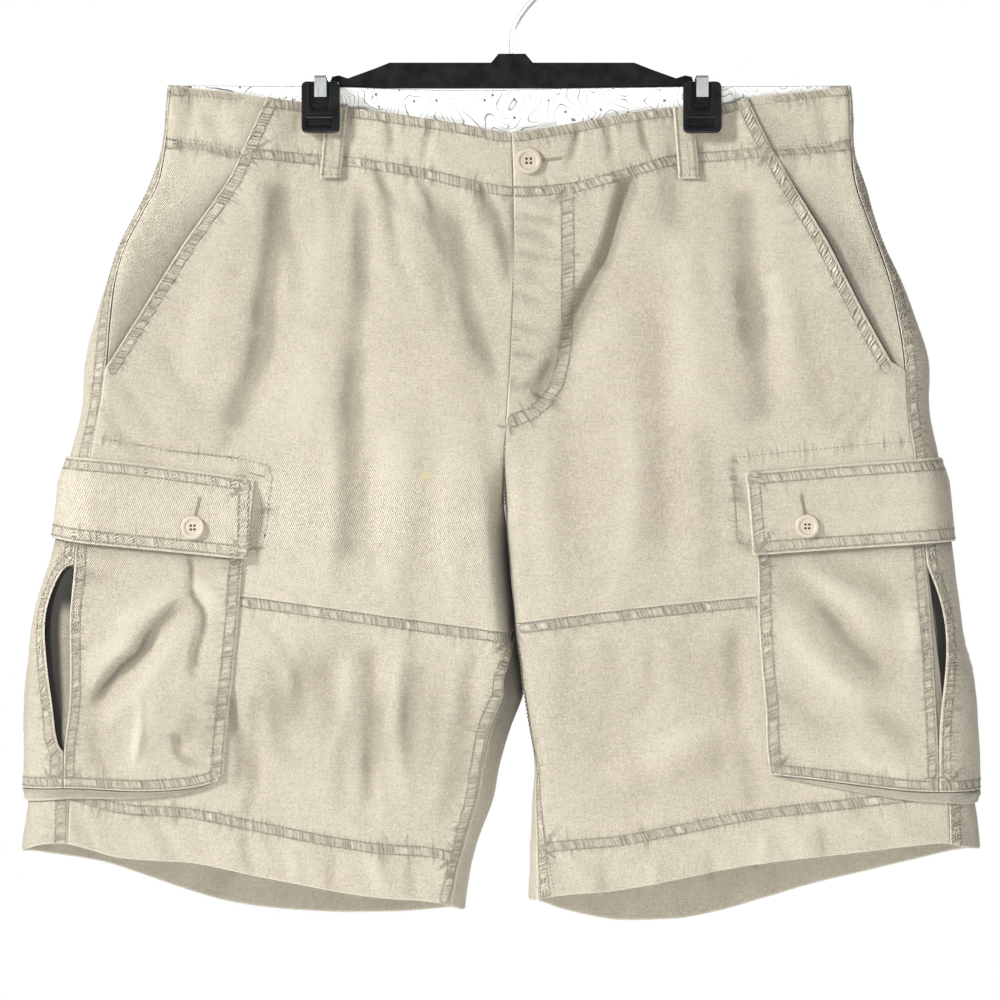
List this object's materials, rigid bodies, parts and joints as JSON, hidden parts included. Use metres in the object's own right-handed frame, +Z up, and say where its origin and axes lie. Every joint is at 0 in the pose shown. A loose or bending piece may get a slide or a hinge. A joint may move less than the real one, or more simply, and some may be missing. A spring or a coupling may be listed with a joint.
{
  "type": "cargo shorts on a clip hanger",
  "caption": "Beige cotton twill cargo shorts with elasticated waist, slant pockets and flapped cargo pockets, hung from a black clip hanger",
  "frame": {"origin": "inside of the hanger hook's crown, where a rail carries it", "axes": "+Z up, +X to the viewer's right, the front of the shorts faces -Y"},
  "size_m": [0.6409, 0.0631, 0.6623],
  "materials": {
    "twill": "washed cotton twill",
    "lining_cloth": "printed cotton poplin",
    "button_resin": "polished resin",
    "black_plastic": "moulded",
    "steel": "plated"
  },
  "bodies": {
    "root": {"front_upper_left": "twill", "front_lower_left": "twill", "back_left": "twill", "hip_facing_left": "twill", "cargo_pocket_front_left": "twill", "cargo_pocket_back_left": "twill", "cargo_gusset_left": "twill", "cargo_flap_left": "twill", "front_upper_right": "twill", "front_lower_right": "twill", "back_right": "twill", "hip_facing_right": "twill", "cargo_pocket_front_right": "twill", "cargo_pocket_back_right": "twill", "cargo_gusset_right": "twill", "cargo_flap_right": "twill", "fly_shield": "twill", "belt_loop_front_left": "twill", "belt_loop_front_right": "twill", "belt_loop_back_left": "twill", "belt_loop_back_centre": "twill", "belt_loop_back_right": "twill", "waist_lining": "lining_cloth", "button_waist": "button_resin", "button_flap_left": "button_resin", "button_flap_right": "button_resin", "button_flap_rear_left": "button_resin", "button_flap_rear_right": "button_resin", "hanger_bar": "black_plastic", "clip_jaw_front_left": "black_plastic", "clip_jaw_front_right": "black_plastic", "clip_jaw_rear_left": "black_plastic", "clip_jaw_rear_right": "black_plastic", "hanger_hook": "steel", "clip_spring_left": "steel", "clip_spring_right": "steel"}
  },
  "joints": []
}
